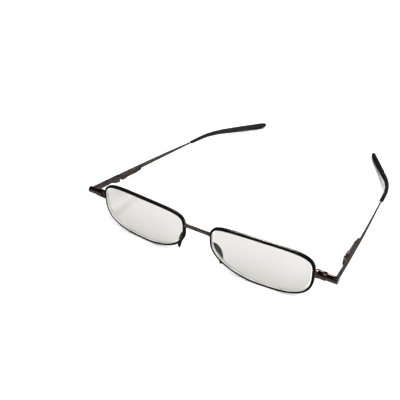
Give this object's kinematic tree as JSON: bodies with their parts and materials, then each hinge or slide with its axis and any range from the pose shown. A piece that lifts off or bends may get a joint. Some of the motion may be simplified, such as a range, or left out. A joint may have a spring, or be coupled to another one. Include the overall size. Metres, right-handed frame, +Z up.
{
  "type": "folding reading glasses",
  "caption": "Open folding reading glasses with narrow metal rims, swivelling end pieces, spring-hinged temples and flat black tips.",
  "frame": {"origin": "on the ground under the middle of the open glasses' box", "axes": "+X to the wearer's left, +Y back along the temples, +Z up; the glasses stand open on the rims' lower edges and the two tips"},
  "size_m": [0.1376, 0.1403, 0.0259],
  "materials": {
    "gunmetal": "satin gunmetal plating",
    "dark_metal": "dark gunmetal plating",
    "bright_steel": "bare steel",
    "lens": "polished, clear",
    "nose_pad": "smooth, dark",
    "sleeve": "satin black"
  },
  "bodies": {
    "front": {"bridge": "gunmetal", "left_rim": "gunmetal", "left_lens": "lens", "left_nose_pad": "nose_pad", "left_upper_lock_block": "dark_metal", "left_lower_lock_block": "dark_metal", "left_lock_screw": "bright_steel", "left_end_barrel": "dark_metal", "left_swivel_pin": "bright_steel", "left_swivel_washer": "bright_steel", "right_rim": "gunmetal", "right_lens": "lens", "right_nose_pad": "nose_pad", "right_upper_lock_block": "dark_metal", "right_lower_lock_block": "dark_metal", "right_lock_screw": "bright_steel", "right_end_barrel": "dark_metal", "right_swivel_pin": "bright_steel", "right_swivel_washer": "bright_steel"},
    "left_arm": {"left_swivel_arm": "gunmetal", "left_end_cap": "dark_metal", "left_hinge_screw": "bright_steel"},
    "left_slider": {"left_hinge_slider": "dark_metal", "left_slider_nut": "bright_steel", "left_hinge_spring": "bright_steel"},
    "left_temple": {"left_spring_box": "gunmetal", "left_box_bush": "dark_metal", "left_temple": "gunmetal", "left_temple_tip": "sleeve"},
    "right_arm": {"right_swivel_arm": "gunmetal", "right_end_cap": "dark_metal", "right_hinge_screw": "bright_steel"},
    "right_slider": {"right_hinge_slider": "dark_metal", "right_slider_nut": "bright_steel", "right_hinge_spring": "bright_steel"},
    "right_temple": {"right_spring_box": "gunmetal", "right_box_bush": "dark_metal", "right_temple": "gunmetal", "right_temple_tip": "sleeve"}
  },
  "joints": [
    {"name": "left_swivel", "type": "hinge", "parent": "front", "child": "left_arm", "pos_m": [0.0656, -0.06529, 0.0171], "axis": [1, 0, 0], "range_deg": [0, 90]},
    {"name": "left_fold", "type": "hinge", "parent": "left_arm", "child": "left_slider", "pos_m": [0.06502, -0.04739, 0.0147], "axis": [0.0261, 0.1177, 0.9927], "range_deg": [-5, 80]},
    {"name": "left_spring_slide", "type": "slide", "parent": "left_slider", "child": "left_temple", "axis": [-0.0767, 0.9903, -0.1154], "range_m": [0, 0.0012], "stiffness_N_per_m": 500, "springref_m": -0.001, "deforming": ["left_hinge_spring"]},
    {"name": "right_swivel", "type": "hinge", "parent": "front", "child": "right_arm", "pos_m": [-0.0656, -0.06529, 0.0171], "axis": [1, 0, 0], "range_deg": [0, 90]},
    {"name": "right_fold", "type": "hinge", "parent": "right_arm", "child": "right_slider", "pos_m": [-0.06502, -0.04739, 0.0147], "axis": [-0.0261, -0.1058, -0.994], "range_deg": [-5, 80]},
    {"name": "right_spring_slide", "type": "slide", "parent": "right_slider", "child": "right_temple", "axis": [0.0767, 0.9912, -0.1075], "range_m": [0, 0.0012], "stiffness_N_per_m": 500, "springref_m": -0.001, "deforming": ["right_hinge_spring"]}
  ]
}
